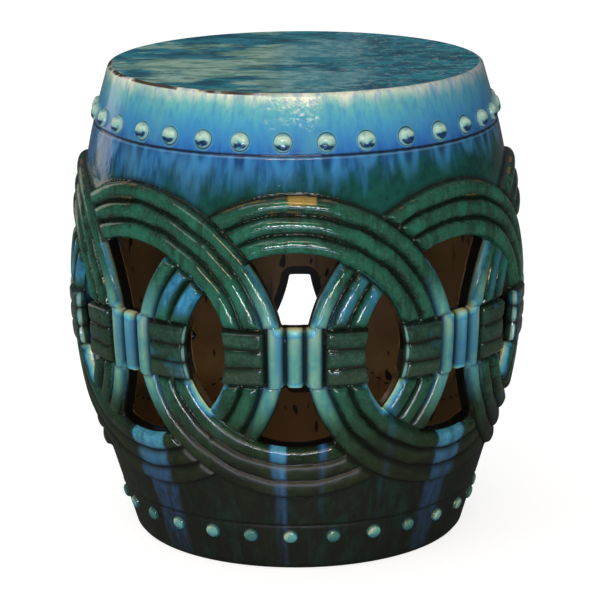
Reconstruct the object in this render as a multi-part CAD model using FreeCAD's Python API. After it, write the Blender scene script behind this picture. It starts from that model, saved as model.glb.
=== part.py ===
"""Drum-shaped garden stool of glazed stoneware.

A potter builds it from parts that are made one by one, luted together while leather-hard,
and fired as one: a skirt wall, eight interlaced rings that carry the middle of the barrel,
the tie bars and cord wraps that lash the rings, a shoulder wall, a seat slab, and two rows
of round studs. Each of those parts is a node here. Millimetres, +Z up, origin at the centre
of the foot. Ring 1 faces -Y, and the rest follow anticlockwise seen from above.
"""

import FreeCAD
import Part
import math
import os
from FreeCAD import Vector

# Barrel: the outside of the plain wall, without the relief
stool_height = 460.0
belly_radius = 213.5
belly_height = 250.0
upper_sweep = 675.0          # radius of the profile's arc above the belly
lower_sweep = 520.0          # radius of the profile's arc below the belly
cone_height = 100.0          # the skirt is a straight cone up to here
wall_thickness = 12.0
seat_thickness = 14.0
seat_edge_bevel = 2.5
foot_width = 18.0
foot_bevel = 4.0
flats_per_stud = 2           # a wall has this many flat sides for each of its studs

# Incised lines that part the stud bands from the rest of the wall
upper_line_height = 406.0
lower_line_height = 48.0
line_half_width = 1.2
line_depth = 1.0

# Rings: ellipses in the view along their own axis, each a band of three ribs
ring_count = 8
ring_height = 226.0
ring_outer_half_width = 149.5
ring_outer_half_height = 146.0
ring_inner_half_width = 104.5
ring_inner_half_height = 93.0
ribs_per_ring = 3
rib_relief = 8.5             # crown of a rib above the plain wall
rib_crown_start = 0.24       # share of a rib's width at which its flat crown starts
groove_relief = 3.0          # bottom of a groove above the plain wall
ring_stations = 24
wall_reach_turn = 50.0       # the walls reach in between two rings to this angle round a ring

# Tie bars and cord wraps, at the rings' sides
tie_low = 195.5
tie_high = 251.5
tie_half_angle = 7.1         # three upright strands: the middle one and two at its sides
strand_half_angle = 2.35
wrap_low = 196.6
wrap_high = 248.6
wraps_per_side = 3
wrap_relief = 11.0
wrap_valley_relief = 9.2     # between two laps, just above the ribs under them
wrap_seat_relief = 1.5
wrap_lap = 1.0               # how far a wrap laps over the ring's inner edge
wrap_lap_depth = 6.0

# Studs
upper_stud_count = 32
upper_stud_height = 417.5
upper_stud_turn = -2.4
upper_stud_radius = 8.2
upper_stud_relief = 5.0
lower_stud_count = 28
lower_stud_height = 36.5
lower_stud_turn = -1.8
lower_stud_radius = 7.3
lower_stud_relief = 4.0
stud_sides = 8
stud_side_share = 0.4        # share of a stud's relief that its upright side takes
stud_top_share = 0.6         # share of a stud's radius that its flat top takes

# Working lengths
cutter_depth = 60.0
cutter_rise = 40.0
scallop_allowance = 6.0      # how far a wall runs in under the rings before it is trimmed
smallest_piece = 10.0        # chips of less volume, left where two cuts graze, are dropped
full_turn = 360.0
up = Vector(0, 0, 1)
origin = Vector(0, 0, 0)


def wall_radius(height):
    """Radius of the plain wall's outside at a height."""
    if height >= belly_height:
        rise = height - belly_height
        return belly_radius - upper_sweep + math.sqrt(upper_sweep ** 2 - rise ** 2)
    rise = belly_height - max(height, cone_height)
    radius = belly_radius - lower_sweep + math.sqrt(lower_sweep ** 2 - rise ** 2)
    slope = rise / math.sqrt(lower_sweep ** 2 - rise ** 2)
    return radius - slope * max(cone_height - height, 0)


def barrel_point(angle, height, relief=0.0):
    """Point on the barrel, with angles in degrees from -Y."""
    radius = wall_radius(height) + relief
    turn = math.radians(angle)
    return Vector(radius * math.sin(turn), -radius * math.cos(turn), height)


def stacked_solid(profile, studs, turn):
    """Turned solid with flat sides, two to a stud, through (height, relief) points.

    turn is the angle of the first stud, which has a side's middle behind it.
    """
    sides = studs * flats_per_stud
    corners = [turn + full_turn * (n + 0.5) / sides for n in range(sides)]
    return faceted_loft([[barrel_point(a, height, relief) for a in corners] for height, relief in profile])


def turned(shape, angle):
    """A copy turned about the stool's axis."""
    copy = shape.copy()
    copy.rotate(origin, up, angle)
    return copy


def closed_wire(points):
    return Part.makePolygon(points + points[:1])


def faceted_loft(sections):
    """Solid between flat sections that hold the same number of points.

    Each side of a section joins the next section's side by two flat triangles, and a flat
    face closes either end.
    """
    faces = [Part.Face(closed_wire(sections[0])), Part.Face(closed_wire(sections[-1]))]
    for near, far in zip(sections, sections[1:]):
        for n in range(len(near)):
            after = (n + 1) % len(near)
            faces.append(Part.Face(closed_wire([near[n], near[after], far[after]])))
            faces.append(Part.Face(closed_wire([near[n], far[after], far[n]])))
    shell = Part.makeShell(faces)
    shell.sewShape()
    solid = Part.makeSolid(shell)
    if solid.Volume < 0:
        solid.reverse()
    return solid


def ring_angle(across, along):
    """Angle and height on the barrel of a point of ring 1.

    across runs from 0 at the outer edge to 1 at the inner edge, along is the angle round
    the ring in degrees from its right side. The rings look round along their own axis.
    """
    half_width = ring_outer_half_width + across * (ring_inner_half_width - ring_outer_half_width)
    half_height = ring_outer_half_height + across * (ring_inner_half_height - ring_outer_half_height)
    sideways = half_width * math.cos(math.radians(along))
    height = ring_height + half_height * math.sin(math.radians(along))
    crown = wall_radius(height) + rib_relief
    return math.degrees(math.asin(sideways / crown)), height


def ring_section(along, outline):
    """Corners of a flat section across ring 1.

    outline is a list of (across, relief). Points lie on the chord between the band's two
    edges, lifted along one direction so that each keeps its relief above the wall.
    """
    outer = barrel_point(*ring_angle(0, along))
    inner = barrel_point(*ring_angle(1, along))
    middle = (outer + inner) * 0.5
    outward = Vector(middle.x, middle.y, 0).normalize()
    points = []
    for across, relief in outline:
        point = outer + (inner - outer) * across
        if 0 < across < 1:
            relief += wall_radius(point.z) - math.hypot(point.x, point.y)
        points.append(point + outward * relief)
    return points


def rib_row(edges):
    """(place, relief) points of ribs that lie side by side between the given edges."""
    points = [(edges[0], groove_relief)]
    for start, end in zip(edges, edges[1:]):
        width = end - start
        points.append((start + width * rib_crown_start, rib_relief))
        points.append((end - width * rib_crown_start, rib_relief))
        points.append((end, groove_relief))
    return points


def rib_outline():
    """Section of the band: three ribs on the outside, plain facets on the inside."""
    crowns = rib_row([rib / ribs_per_ring for rib in range(ribs_per_ring + 1)])
    return crowns + [(1, -wall_thickness), (0, -wall_thickness)]


def block_outline():
    """Section of the space that a ring takes, from well inside to well outside."""
    return [(0, -cutter_depth), (0, cutter_rise), (1, cutter_rise), (1, -cutter_depth)]


def ring_loft(outline, first, last):
    """Faceted loft round ring 1 between two stations."""
    step = full_turn / ring_stations
    return faceted_loft([ring_section(step * n, outline) for n in range(first, last + 1)])


def ring_blocks():
    """The upper and the lower half of the space that ring 1 takes."""
    half = ring_stations // 2
    upper = ring_loft(block_outline(), 0, half)
    lower = ring_loft(block_outline(), half, 2 * half)
    return upper, lower


def upright_prism(low, high, outline):
    """Loft between two heights of an outline of (angle, relief) points at -Y."""
    heights = (low, (low + high) / 2, high)
    return faceted_loft([[barrel_point(a, height, r) for a, r in outline] for height in heights])


def tie_bar():
    """Three upright strands at the centre of ring 1, between rings 2 and 8."""
    edges = [-tie_half_angle, -strand_half_angle, strand_half_angle, tie_half_angle]
    inside = [(side * tie_half_angle, -wall_thickness) for side in (1, -1)]
    return upright_prism(tie_low, tie_high, rib_row(edges) + inside)


def tie_block():
    """Space that the tie bar takes, from well inside to well outside."""
    reach = tie_half_angle
    outline = [(-reach, -cutter_depth), (-reach, cutter_rise), (reach, cutter_rise), (reach, -cutter_depth)]
    return upright_prism(tie_low, tie_high, outline)


def cord_wrap(side):
    """Cord wound over the two inner ribs of ring 1, on its right (1) or left (-1).

    It starts at the tie bar, and bends over the ring's inner edge into the opening.
    """
    lap = (wrap_high - wrap_low) / wraps_per_side
    start = full_turn / ring_count - tie_half_angle
    end = ring_angle(1, 0)[0]
    over = end - math.degrees(wrap_lap / belly_radius)
    laps = []
    for n in range(wraps_per_side):
        laps += [(wrap_low + n * lap, wrap_valley_relief), (wrap_low + (n + 0.5) * lap, wrap_relief)]
    laps.append((wrap_high, wrap_valley_relief))
    sections = []
    for angle, seat in ((start, wrap_seat_relief), (end, wrap_seat_relief), (over, -wrap_lap_depth)):
        outline = [(wrap_low, seat)] + laps + [(wrap_high, seat)]
        sections.append([barrel_point(side * angle, height, relief) for height, relief in outline])
    return faceted_loft(sections)


def ring_solid(upper_block, lower_block, wraps):
    """Ring 1: over its right neighbour at the top, over its left one at the bottom.

    It is cut where a neighbour passes over it, which leaves two arcs.
    """
    pitch = full_turn / ring_count
    half = ring_stations // 2
    right = ring_loft(rib_outline(), -half // 2, half // 2)
    left = ring_loft(rib_outline(), half // 2, half + half // 2)
    ties = [turned(tie_block(), pitch * side) for side in (1, -1)]
    ring = right.fuse(left)
    ring = ring.cut([turned(upper_block, -pitch), turned(lower_block, pitch)])
    arcs = [solid for solid in ring.cut(ties + wraps).Solids if solid.Volume > smallest_piece]
    return Part.makeCompound(arcs)


def incised_line(height):
    """Profile points of a groove scratched round the wall."""
    return [(height - line_half_width, 0), (height, -line_depth), (height + line_half_width, 0)]


def wall_reach():
    """How far from the rings' middle height the plain walls start, before they are trimmed."""
    return ring_outer_half_height * math.sin(math.radians(wall_reach_turn))


def scalloped(wall, block):
    """The wall with the rings' bands taken out of its edge."""
    pitch = full_turn / ring_count
    return wall.cut([turned(block, pitch * n) for n in range(ring_count)])


def shoulder_wall(upper_block):
    """The upper drum band, from the rings up to the seat, with its incised line."""
    low = ring_height + wall_reach() - scallop_allowance
    high = stool_height - seat_thickness
    middle = (low + upper_line_height) / 2
    outside = [(low, 0), (middle, 0)] + incised_line(upper_line_height) + [(high, 0)]
    inside = [(low, -wall_thickness), (high, -wall_thickness)]
    wall = stacked_solid(outside, upper_stud_count, upper_stud_turn)
    wall = wall.cut(stacked_solid(inside, upper_stud_count, upper_stud_turn))
    return scalloped(wall, upper_block)


def skirt_wall(lower_block):
    """The lower drum band, from the foot up to the rings, with its incised line."""
    high = ring_height - wall_reach() + scallop_allowance
    outside = [(0, -foot_bevel), (foot_bevel, 0)] + incised_line(lower_line_height) + [(high, 0)]
    inside = [(0, -foot_width), (high, -wall_thickness)]
    wall = stacked_solid(outside, lower_stud_count, lower_stud_turn)
    wall = wall.cut(stacked_solid(inside, lower_stud_count, lower_stud_turn))
    return scalloped(wall, lower_block)


def seat_slab():
    """Flat round slab that closes the top, its edge in line with the barrel."""
    low = stool_height - seat_thickness
    profile = [(low, 0), (stool_height - seat_edge_bevel, 0), (stool_height, -seat_edge_bevel)]
    return stacked_solid(profile, upper_stud_count, upper_stud_turn)


def stud_row(count, turn, height, radius, relief, low, high):
    """A full row of equal domed studs, each on a flat side of the wall.

    low and high are the heights of the profile points below and above the row.
    """
    to_flat = math.cos(math.pi / (count * flats_per_stud))
    rise = high - low
    lean = (wall_radius(high) - wall_radius(low)) * to_flat
    at_stud = wall_radius(low) * to_flat + lean * (height - low) / rise
    outward = Vector(0, -rise, -lean).normalize()
    sideways = Vector(1, 0, 0)
    upward = outward.cross(sideways)
    sections = []
    for share, lift in ((1, 0), (1, stud_side_share * relief), (stud_top_share, relief)):
        points = []
        for corner in range(stud_sides):
            angle = math.radians(full_turn * (corner + 0.5) / stud_sides)
            spoke = sideways * math.cos(angle) + upward * math.sin(angle)
            points.append(Vector(0, -at_stud, height) + spoke * (radius * share) + outward * lift)
        sections.append(points)
    first = faceted_loft(sections)
    return [turned(first, turn + full_turn * n / count) for n in range(count)]


def upper_studs():
    low = upper_line_height + line_half_width
    high = stool_height - seat_thickness
    return stud_row(upper_stud_count, upper_stud_turn, upper_stud_height,
                    upper_stud_radius, upper_stud_relief, low, high)


def lower_studs():
    high = lower_line_height - line_half_width
    return stud_row(lower_stud_count, lower_stud_turn, lower_stud_height,
                    lower_stud_radius, lower_stud_relief, foot_bevel, high)


def save(name, shapes):
    """Writes one node, and reports its solids."""
    shapes = shapes if isinstance(shapes, list) else [shapes]
    solids = [solid for shape in shapes for solid in shape.Solids]
    whole = solids[0] if len(solids) == 1 else Part.makeCompound(solids)
    whole.exportStep(os.path.join("parts", name + ".step"))
    valid = all(solid.isValid() and solid.Volume > 0 for solid in solids)
    print(name, "solids", len(solids), "volume", round(sum(s.Volume for s in solids)), "valid", valid)


def main():
    os.makedirs("parts", exist_ok=True)
    upper_block, lower_block = ring_blocks()
    wraps = [cord_wrap(side) for side in (1, -1)]
    ring = ring_solid(upper_block, lower_block, wraps)
    bar = tie_bar()
    save("seat_slab", seat_slab())
    save("shoulder_wall", shoulder_wall(upper_block))
    save("skirt_wall", skirt_wall(lower_block))
    for n in range(ring_count):
        angle = full_turn * n / ring_count
        save(f"ring_{n + 1}", turned(ring, angle))
        save(f"cord_wraps_{n + 1}", [turned(wrap, angle) for wrap in wraps])
        save(f"tie_bar_{n + 1}", turned(bar, angle))
    save("upper_studs", upper_studs())
    save("lower_studs", lower_studs())


main()
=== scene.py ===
import bpy
import math
import numpy as np
from mathutils import Matrix, Vector


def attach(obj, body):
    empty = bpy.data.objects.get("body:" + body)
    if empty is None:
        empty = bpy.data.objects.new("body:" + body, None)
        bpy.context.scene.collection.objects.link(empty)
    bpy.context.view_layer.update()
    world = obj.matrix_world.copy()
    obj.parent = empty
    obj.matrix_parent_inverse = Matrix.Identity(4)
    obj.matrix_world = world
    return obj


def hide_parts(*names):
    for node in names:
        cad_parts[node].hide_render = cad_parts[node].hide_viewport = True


# Ceramic garden stool: a drum of luted clay, pierced between interlaced rings and glazed to run.
# The glazed skin is a height field over the barrel. Every piece is cut out of that one field,
# so that the pieces meet along the grooves with no gap. Sizes are millimetres until the last step.

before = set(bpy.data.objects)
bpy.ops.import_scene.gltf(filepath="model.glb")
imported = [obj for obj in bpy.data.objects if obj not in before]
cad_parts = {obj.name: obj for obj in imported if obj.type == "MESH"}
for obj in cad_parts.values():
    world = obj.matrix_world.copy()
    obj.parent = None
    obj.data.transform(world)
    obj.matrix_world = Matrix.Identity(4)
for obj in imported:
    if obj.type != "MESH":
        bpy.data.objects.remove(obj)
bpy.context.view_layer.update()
print("frame loaded")

# Barrel and seat, as in the frame
barrel = {
    "height": 460.0,
    "bellyRadius": 213.5,
    "bellyHeight": 250.0,
    "upperSweep": 675.0,        # radius of the side's arc above the belly
    "lowerSweep": 520.0,
    "coneHeight": 100.0,        # below this the side is straight
    "wall": 12.0,
    "seat": 14.0,
    "seatRound": 3.2,
    "seatDish": (0.5, 14.0),    # how much lower the seat is than its rim, and how wide the rim's slope
    "footWidth": 18.0,
    "footRound": 4.5,
    "footRise": 110.0,          # the wall thickens towards the foot below this
    "lineHeights": (406.0, 48.0),
    "lineHalfWidth": 1.5,
    "lineDepth": 1.1,
    "unevenness": 0.6,          # share of the hand-built waves that is used
}

# Rings, tie bars and cords
lattice = {
    "count": 8,
    "height": 226.0,
    "outer": (149.5, 146.0),    # half width and half height of the outer edge, seen along the ring's axis
    "inner": (104.5, 93.0),
    "bandWidth": 56.0,
    "ribs": 3,
    "ribRelief": 8.3,
    "grooveRelief": 1.4,
    "groove": 0.7,              # half width of the cleft between two ribs
    "ribShoulder": 8.6,         # how far from its edges a rib reaches its full relief
    "ribSway": 0.16,            # how far ribs wander, as a share of their width
    "lowRibs": (150.0, 105.0, 0.4),     # ribs flatten between these heights, by this share
    "crossGap": 0.9,            # cleft where a ring dives under its neighbour
    "tieLow": 195.5,
    "tieHigh": 251.5,
    "tieHalf": 27.1,
    "strandHalf": 9.0,
    "strandDegrees": 2.35,      # the same half width as an angle
    "strandRelief": 8.8,
    "strandValley": 2.0,
    "strandShoulder": 7.6,
    "cordLow": 196.6,
    "cordHigh": 248.6,
    "laps": 3,
    "cordRelief": 10.2,
    "cordValley": 8.3,
    "cordShoulder": 6.0,
    "cordEnd": 4.5,             # rounding of a lap's end
    "cordSway": 0.8,
    "cordLap": 0.7,             # how far a cord bends over the ring's inner edge
    "edgeRound": 3.4,           # rounding of the windows' edges
    "rounding": 2.0,            # width of the rounding where two edges meet
}

studRows = {
    "upper": {"count": 32, "height": 417.5, "turn": -2.4, "radius": 8.2, "relief": 5.0, "firstSlip": 5,
              "slips": [-0.3, 0.9, 0.2, -0.2, -0.8, -0.4, 0.1, -0.1, 0.7, 1.1, 1.2, 0.5]},
    "lower": {"count": 28, "height": 36.5, "turn": -1.8, "radius": 6.8, "relief": 4.0, "firstSlip": 5,
              "slips": [-0.8, -0.6, -0.6, -0.1, 0.0, -0.3, 0.3, 0.8, 0.7, 0.8, 0.8]},
}

mesh = {
    "columnsPerRing": 160,
    "fineStep": 1.05,       # rows through the rings
    "plainStep": 2.0,       # rows on the plain wall above and below them
    "fineZone": (76.0, 378.0),
    "flankRows": 7,
    "liningColumns": 360,
    "liningRows": 110,
    "liningShift": 1.3,         # the lining's windows are this much wider, to meet the flanks
    "far": 1e3,                 # stands for no groove or edge nearby
}
pitch = 360.0 / lattice["count"]


def wallRadius(z):
    # two arcs that meet at the belly, and a straight cone below the lower arc's end
    b = barrel
    rise = np.maximum(z - b["bellyHeight"], 0)
    fall = b["bellyHeight"] - np.clip(z, b["coneHeight"], b["bellyHeight"])
    up = np.sqrt(b["upperSweep"] ** 2 - rise ** 2) - b["upperSweep"]
    down = np.sqrt(b["lowerSweep"] ** 2 - fall ** 2) - b["lowerSweep"]
    slope = fall / np.sqrt(b["lowerSweep"] ** 2 - fall ** 2)
    return b["bellyRadius"] + up + down - slope * np.maximum(b["coneHeight"] - z, 0)


def onBarrel(angle, z, relief):
    # wall point plus relief times the wall's normal; angles are degrees from -Y
    turn = np.radians(angle)
    slope = wallRadius(z + 0.5) - wallRadius(z - 0.5)
    size = np.sqrt(1 + slope ** 2)
    radius = wallRadius(z) + relief / size
    return np.stack([radius * np.sin(turn), -radius * np.cos(turn), z - relief * slope / size], -1)


def smoothMin(a, b, width):
    # the smaller of two, with the corner between them rounded over the given width
    share = np.clip(0.5 + 0.5 * (b - a) / width, 0, 1)
    return b + (a - b) * share - width * share * (1 - share)


def dome(x, power=2.1):
    # quarter superellipse: 0 at 0 with a steep start, level at 1
    return (1 - (1 - np.clip(x, 0, 1)) ** power) ** (1 / power)


def smoothStep(x, low, high):
    # 0 up to low, 1 from high on, and 3 t^2 - 2 t^3 at the share t of the way between them
    t = np.clip((x - low) / (high - low), 0, 1)
    return t * t * (3 - 2 * t)


def bandPlace(angle, z):
    # share t of the way from a ring's outer edge (0) to its inner edge (1): t solves
    # (x / width(t))^2 + (y / height(t))^2 = 1, with both half sizes shrinking evenly with t
    a0, b0 = lattice["outer"]
    a1, b1 = lattice["inner"]
    x = (wallRadius(z) + lattice["ribRelief"]) * np.sin(np.radians(np.clip(angle, -90, 90)))
    y = z - lattice["height"]
    low = np.full(np.shape(x), -4.0)
    high = np.full(np.shape(x), 1.85)
    for _ in range(26):
        t = (low + high) / 2
        outside = (x / (a0 + (a1 - a0) * t)) ** 2 + (y / (b0 + (b1 - b0) * t)) ** 2 > 1
        high = np.where(outside, t, high)
        low = np.where(outside, low, t)
    across = (x / (a0 + (a1 - a0) * t)) ** 2
    inBand = np.clip(t, 0, 1)
    return t + 0.09 * across * inBand * (1 - inBand)


def skin(angle, z):
    # Everything about the glazed skin at points given by angle and height. It returns a dictionary:
    # relief in mm, open (mm into a window, negative on clay), cleft (mm from the nearest groove),
    # ring (number of the ring that shows), part, and turquoise: 1 on turquoise strands, -1 on cords.
    net = lattice
    sector = np.round(angle / pitch)
    a = angle - pitch * sector
    upper = z > net["height"]
    far = mesh["far"]
    turn = np.radians(angle)
    place = {m: bandPlace(a - pitch * m, z) for m in (-1, 0, 1)}
    out = {m: np.maximum(-t, t - 1) * net["bandWidth"] for m, t in place.items()}
    cut = {
        -1: np.where(upper, far, out[0]),
        0: np.where(upper, out[-1], out[1]),
        1: np.where(upper, out[0], far),
    }
    ribWidth = net["bandWidth"] / net["ribs"]
    toTie = np.maximum(net["tieLow"] - z, z - net["tieHigh"])
    toCord = np.maximum(net["cordLow"] - z, z - net["cordHigh"])

    bandRelief, bandCleft = {}, {}
    for m, t in place.items():
        inBand = np.clip(t, 0, 1)
        sway = np.sin(turn * 11 + z / 23 + 2.0 * m) + 0.6 * np.sin(turn * 29 - z / 13)
        share = inBand * net["ribs"] + net["ribSway"] * sway * inBand * (1 - inBand)
        rib = np.clip(np.floor(share), 0, net["ribs"] - 1)
        share = share - rib
        side = np.minimum(share, 1 - share) * ribWidth
        side = np.where(out[m] > 0, -out[m], side)
        stop = np.where(rib == 0, toTie + net["edgeRound"], toCord - 0.4)
        ends = smoothMin(cut[m] - net["crossGap"], stop, net["rounding"])
        e = smoothMin(side - net["groove"], ends, 1.3 * net["rounding"])
        full, flat, loss = net["lowRibs"]
        swell = (net["ribRelief"] - net["grooveRelief"]) * (1 - loss * smoothStep(z, full, flat))
        bandRelief[m] = net["grooveRelief"] + swell * dome(e / net["ribShoulder"])
        innerSide = (share > 0.5) & (rib == net["ribs"] - 1)
        outerSide = (share < 0.5) & (rib == 0)
        sideCleft = np.where(innerSide, far, side)
        bandCleft[m] = np.minimum(sideCleft, np.minimum(cut[m], np.where(rib == 0, toTie + 1.5, toCord)))
        bandCleft[m] = np.where(outerSide, np.minimum(bandCleft[m], side + 0.3), bandCleft[m])

    x = np.radians(a) * (net["strandHalf"] / math.radians(net["strandDegrees"]))
    ax = np.abs(x)
    strandSide = np.minimum(np.abs(ax - net["strandHalf"]), net["tieHalf"] - ax)
    tieOut = np.maximum(ax - net["tieHalf"], toTie)
    e = smoothMin(strandSide - 1.3, net["edgeRound"] - toTie, net["rounding"])
    rise = net["strandRelief"] - net["strandValley"]
    tieRelief = net["strandValley"] + rise * dome(e / net["strandShoulder"])
    tieCleft = np.maximum(strandSide - 0.7, 0)

    lapWidth = (net["cordHigh"] - net["cordLow"]) / net["laps"]
    lap = (z - net["cordLow"] + net["cordSway"] * np.sin(turn * 13 + z / 11)) / lapWidth
    lapSide = np.abs(lap - np.round(lap)) * lapWidth
    cordEnd = smoothMin(ax - net["tieHalf"] - 0.5, -toCord, net["rounding"])
    rise = net["cordRelief"] - net["cordValley"]
    cordRelief = net["cordValley"] + rise * dome((lapSide - 0.2) / net["cordShoulder"])
    rise = net["cordRelief"] - net["grooveRelief"]
    cordRelief = np.minimum(cordRelief, net["grooveRelief"] + rise * dome(cordEnd / net["cordEnd"]))
    nearest = np.minimum(out[-1], out[1])
    cordOut = np.maximum(nearest - net["cordLap"], toCord)
    cordCleft = np.minimum(lapSide, np.maximum(ax - net["tieHalf"], 0))

    wallOut = np.maximum(np.maximum(place[-1], place[0]), place[1]) * net["bandWidth"]

    # What shows is a number from 0 to 5: the rings to the left, here and to the right, tie bar, cord
    # and plain wall. A tie bar comes before a cord, and that before the ring that passes over.
    outs = np.stack([out[-1], out[0], out[1], tieOut, cordOut, wallOut])
    reliefs = np.stack([bandRelief[-1], bandRelief[0], bandRelief[1], tieRelief, cordRelief, 0 * x])
    clefts = np.stack([bandCleft[-1], bandCleft[0], bandCleft[1], tieCleft, cordCleft, 0 * x + far])
    kind = np.argmin(outs, axis=0)
    kind = np.where(wallOut <= 0, 5, kind)
    for m in (-1, 0, 1):
        kind = np.where((out[m] <= 0) & (cut[m] > 0), m + 1, kind)
    kind = np.where((cordOut <= 0) & (ax > net["tieHalf"]), 4, kind)
    kind = np.where(tieOut <= 0, 3, kind)
    relief = np.take_along_axis(reliefs, kind[None], 0)[0]
    cleft = np.take_along_axis(clefts, kind[None], 0)[0]

    opening = out[-1]
    for other in (out[0], out[1], tieOut, cordOut, wallOut):
        opening = smoothMin(opening, other, 1.2)
    # an edge is a quarter circle of radius r: drop = r - sqrt(r^2 - (r + opening)^2)
    r = net["edgeRound"]
    inward = np.clip(1 + opening / r, 0, None)
    drop = np.where(inward < 1, r * (1 - np.sqrt(np.maximum(1 - inward ** 2, 0))), r + (inward - 1) * r)
    onWall = kind == 5
    beside = -wallOut
    relief = relief - np.where(onWall, 0, drop)
    relief = relief + np.where(onWall, 0.9 * np.exp(-np.clip(beside, 0, 60) / 1.2), 0)
    cleft = np.where(onWall, np.clip(beside, 0, far), cleft)
    for height in barrel["lineHeights"]:
        notch = barrel["lineDepth"] * np.exp(-((z - height) / barrel["lineHalfWidth"]) ** 2)
        relief = relief - np.where(onWall, notch, 0)

    # part: 0 ring, 1 tie bar, 2 cord, 3 shoulder, 4 skirt
    ring = np.where(kind <= 2, kind - 1, 0)
    ring = np.where(kind == 4, np.where(a < 0, -1, 1), ring)
    ring = (sector + ring) % net["count"]
    part = np.choose(kind, [0, 0, 0, 1, 2, 3])
    part = np.where((part == 3) & ~upper, 4, part)
    outerRib = {m: place[m] < 0.36 for m in place}
    turquoise = np.where(kind == 3, 1.0, np.where(kind == 4, -1.0, 0.0))
    for m in (-1, 0, 1):
        nearTie = smoothStep(toTie, 46, 0)
        turquoise = np.where((kind == m + 1) & outerRib[m] & (ax < 52), nearTie, turquoise)
    lens = smoothStep(np.abs(a), 0.38 * pitch, 0.42 * pitch) * (np.abs(z - net["height"]) < 75)
    under = (kind == 2) & ~outerRib[1]
    blue = np.where(under, smoothStep(z, 252, 268) * smoothStep(z, 312, 290), 0.0)
    return {"relief": relief, "open": opening, "cleft": cleft, "ring": ring.astype(int),
            "part": part, "turquoise": turquoise, "blue": blue, "lens": lens}


# nodes and slots of the parts. A piece's label is 8 * part + ring for the first three, then 24 to 26.
parts = [("ring", "ring"), ("tie_bar", "tie"), ("cord_wraps", "cord"), ("shoulder_wall", "shoulder"),
         ("skirt_wall", "skirt"), ("seat_slab", "seat")]
labelOf = {"rings": 24, "skirt": 25, "seat": 26}
onSkin, onClay, onSeat = 0, 1, 2      # numbers of the finishes, in the order that the pieces get them


def rowHeights():
    # heights of the grid's rows: fine ones through the rings and at the incised lines
    low, high = mesh["fineZone"]
    bottom = barrel["footRound"]
    top = barrel["height"] - barrel["seatRound"]
    plain = mesh["plainStep"]
    below = np.linspace(bottom, low, int((low - bottom) / plain) + 1)[:-1]
    fine = np.linspace(low, high, int((high - low) / mesh["fineStep"]) + 1)
    above = np.linspace(high, top, int((top - high) / plain) + 1)[1:]
    steps = (-2.6, -1.3, -0.5, 0.5, 1.3, 2.6)
    extra = [height + step for height in barrel["lineHeights"] for step in steps]
    seam = [barrel["height"] - barrel["seat"]]
    heights = np.sort(np.concatenate([below, fine, above, extra, seam]))
    return heights[np.concatenate([[True], np.diff(heights) > 0.25])]


def unevenness(points):
    # slow waves of well under a millimetre, as a hand-built wall has: sums of sines in x, y and z
    x, y, z = points[..., 0], points[..., 1], points[..., 2]
    wave = 0.35 * np.sin(x / 31 + 1.3) * np.sin(z / 43 + 0.4) + 0.3 * np.sin(y / 27 + 2.1) * np.sin(z / 29)
    wave = wave + 0.18 * np.sin(x / 11 + z / 17) * np.sin(y / 13 - z / 19 + 0.7)
    ripple = np.sin(x / 2.9 + 1.7 * np.sin(z / 23)) * np.sin(z / 3.7 + 1.3 * np.sin(y / 19))
    ripple = ripple * smoothStep(z, 385, 368)
    return wave + 0.2 * ripple * np.sin(x / 41 + y / 37 + z / 31)


def skinPoint(angle, z, relief):
    # the barrel's point with its relief and the unevenness, which fades out at the foot and the seat
    base = onBarrel(angle, z, 0 * relief)
    calm = smoothStep(z, 0, 60) * smoothStep(barrel["height"] - z, 0, 25)
    return onBarrel(angle, z, relief + barrel["unevenness"] * calm * (unevenness(base) - 0.4))


def marchingCells(inside):
    # Splits the grid's cells at the windows' edge. Corners are numbered 0 to 3 anticlockwise from
    # the lower left, and 4 to 7 are the cut points on the sides that follow each corner. For each
    # of the 16 ways that corners can lie inside, the table lists the polygons that remain.
    table = {}
    for case in range(1, 16):
        keep = [bool(case >> n & 1) for n in range(4)]
        loop = []
        for n in range(4):
            if keep[n]:
                loop.append(n)
            if keep[n] != keep[(n + 1) % 4]:
                loop.append(4 + n)
        table[case] = [loop]
    table[5] = [[0, 4, 7], [2, 6, 5]]
    table[10] = [[1, 5, 4], [3, 7, 6]]
    code = inside[:-1] * 1 + np.roll(inside, -1, 1)[:-1] * 2
    code = code + np.roll(inside, -1, 1)[1:] * 4 + inside[1:] * 8
    return code, table


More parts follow.
